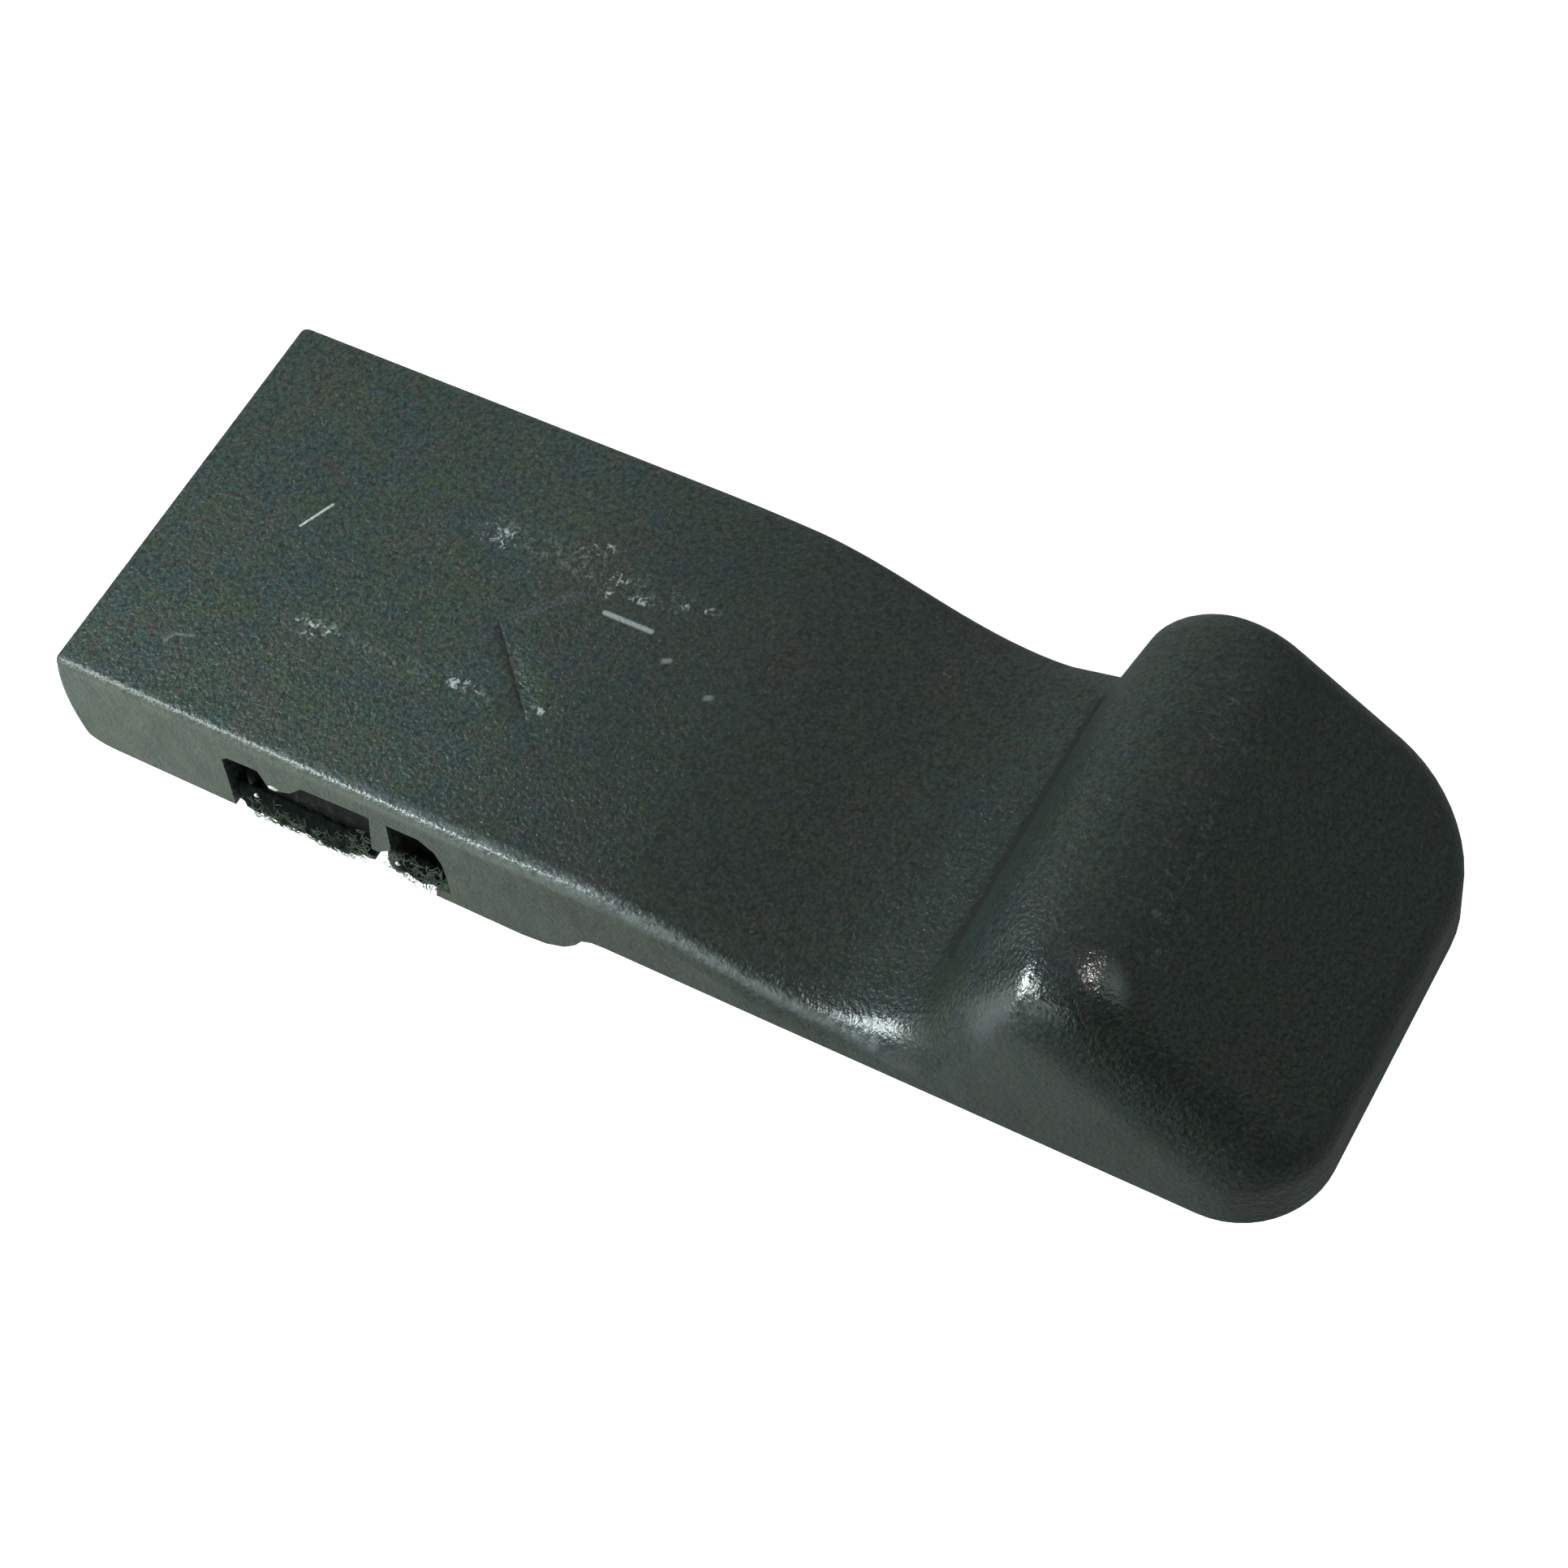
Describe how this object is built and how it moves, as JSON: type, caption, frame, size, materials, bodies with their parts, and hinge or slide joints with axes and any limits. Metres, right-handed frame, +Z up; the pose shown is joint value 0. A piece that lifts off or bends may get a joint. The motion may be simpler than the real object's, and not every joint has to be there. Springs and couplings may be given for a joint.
{
  "type": "release lever handle",
  "caption": "Moulded two-finger release lever with a raised finger stop, on a cast core that pivots in a pressed bracket against a return spring and pulls a control cable.",
  "frame": {"origin": "middle of the overall box's underside: 58.4 mm in front of the handle's rear edge, on the bracket's mounting face, 16 mm below the handle's rear rim", "axes": "+X from the rear edge to the finger end, +Y across the handle to the far side, +Z up out of the handle's flat top"},
  "size_m": [0.1168, 0.04, 0.043],
  "materials": {
    "handle_plastic": "fine moulded grain, dark green-grey",
    "cover_plastic": "fine moulded grain, near black",
    "screw_steel": "zinc plated",
    "cast_zinc": "zinc casting with a thin black dip coat, greasy",
    "felt": "oil-soaked dark felt with pale lint",
    "pin_steel": "turned steel, zinc plated",
    "spring_steel": "oiled spring steel",
    "natural_nylon": "aged natural nylon, greasy near the side openings",
    "plated_sheet": "pressed sheet steel, zinc plated",
    "buffer_rubber": "moulded rubber",
    "ferrule_plastic": "moulded black plastic",
    "trunnion_brass": "turned brass"
  },
  "bodies": {
    "bracket": {"base_bracket": "plated_sheet", "stop_angle": "plated_sheet", "pivot_bush_near": "natural_nylon", "pivot_bush_far": "natural_nylon", "thrust_washers": "pin_steel", "return_spring": "spring_steel", "rest_buffer": "buffer_rubber", "open_stop_buffer": "buffer_rubber", "clinch_nuts": "pin_steel", "cable_ferrule": "ferrule_plastic"},
    "lever": {"handle_shell": "handle_plastic", "grip_cover": "cover_plastic", "cover_screw": "screw_steel", "lever_core": "cast_zinc", "core_screws": "screw_steel", "felt_strip": "felt", "pivot_pin": "pin_steel", "pin_clip": "spring_steel", "spring_mandrel": "natural_nylon", "spring_sleeve": "natural_nylon"},
    "trunnion": {"cable_trunnion": "trunnion_brass", "trunnion_clip": "spring_steel"}
  },
  "joints": [
    {"name": "lever_lift", "type": "hinge", "parent": "bracket", "child": "lever", "pos_m": [-0.0324, 0, 0.0185], "axis": [0, -1, 0], "range_deg": [0, 30], "stiffness_Nm_per_rad": 0.15, "springref_deg": -34.38, "deforming": ["return_spring"]},
    {"name": "trunnion_swivel", "type": "hinge", "parent": "lever", "child": "trunnion", "pos_m": [-0.0184, 0, 0.016], "axis": [0, -1, 0], "range_deg": [-30, 0]}
  ],
  "couplings": [
    {"joint": "trunnion_swivel", "follows": "lever_lift", "ratio": -1}
  ]
}
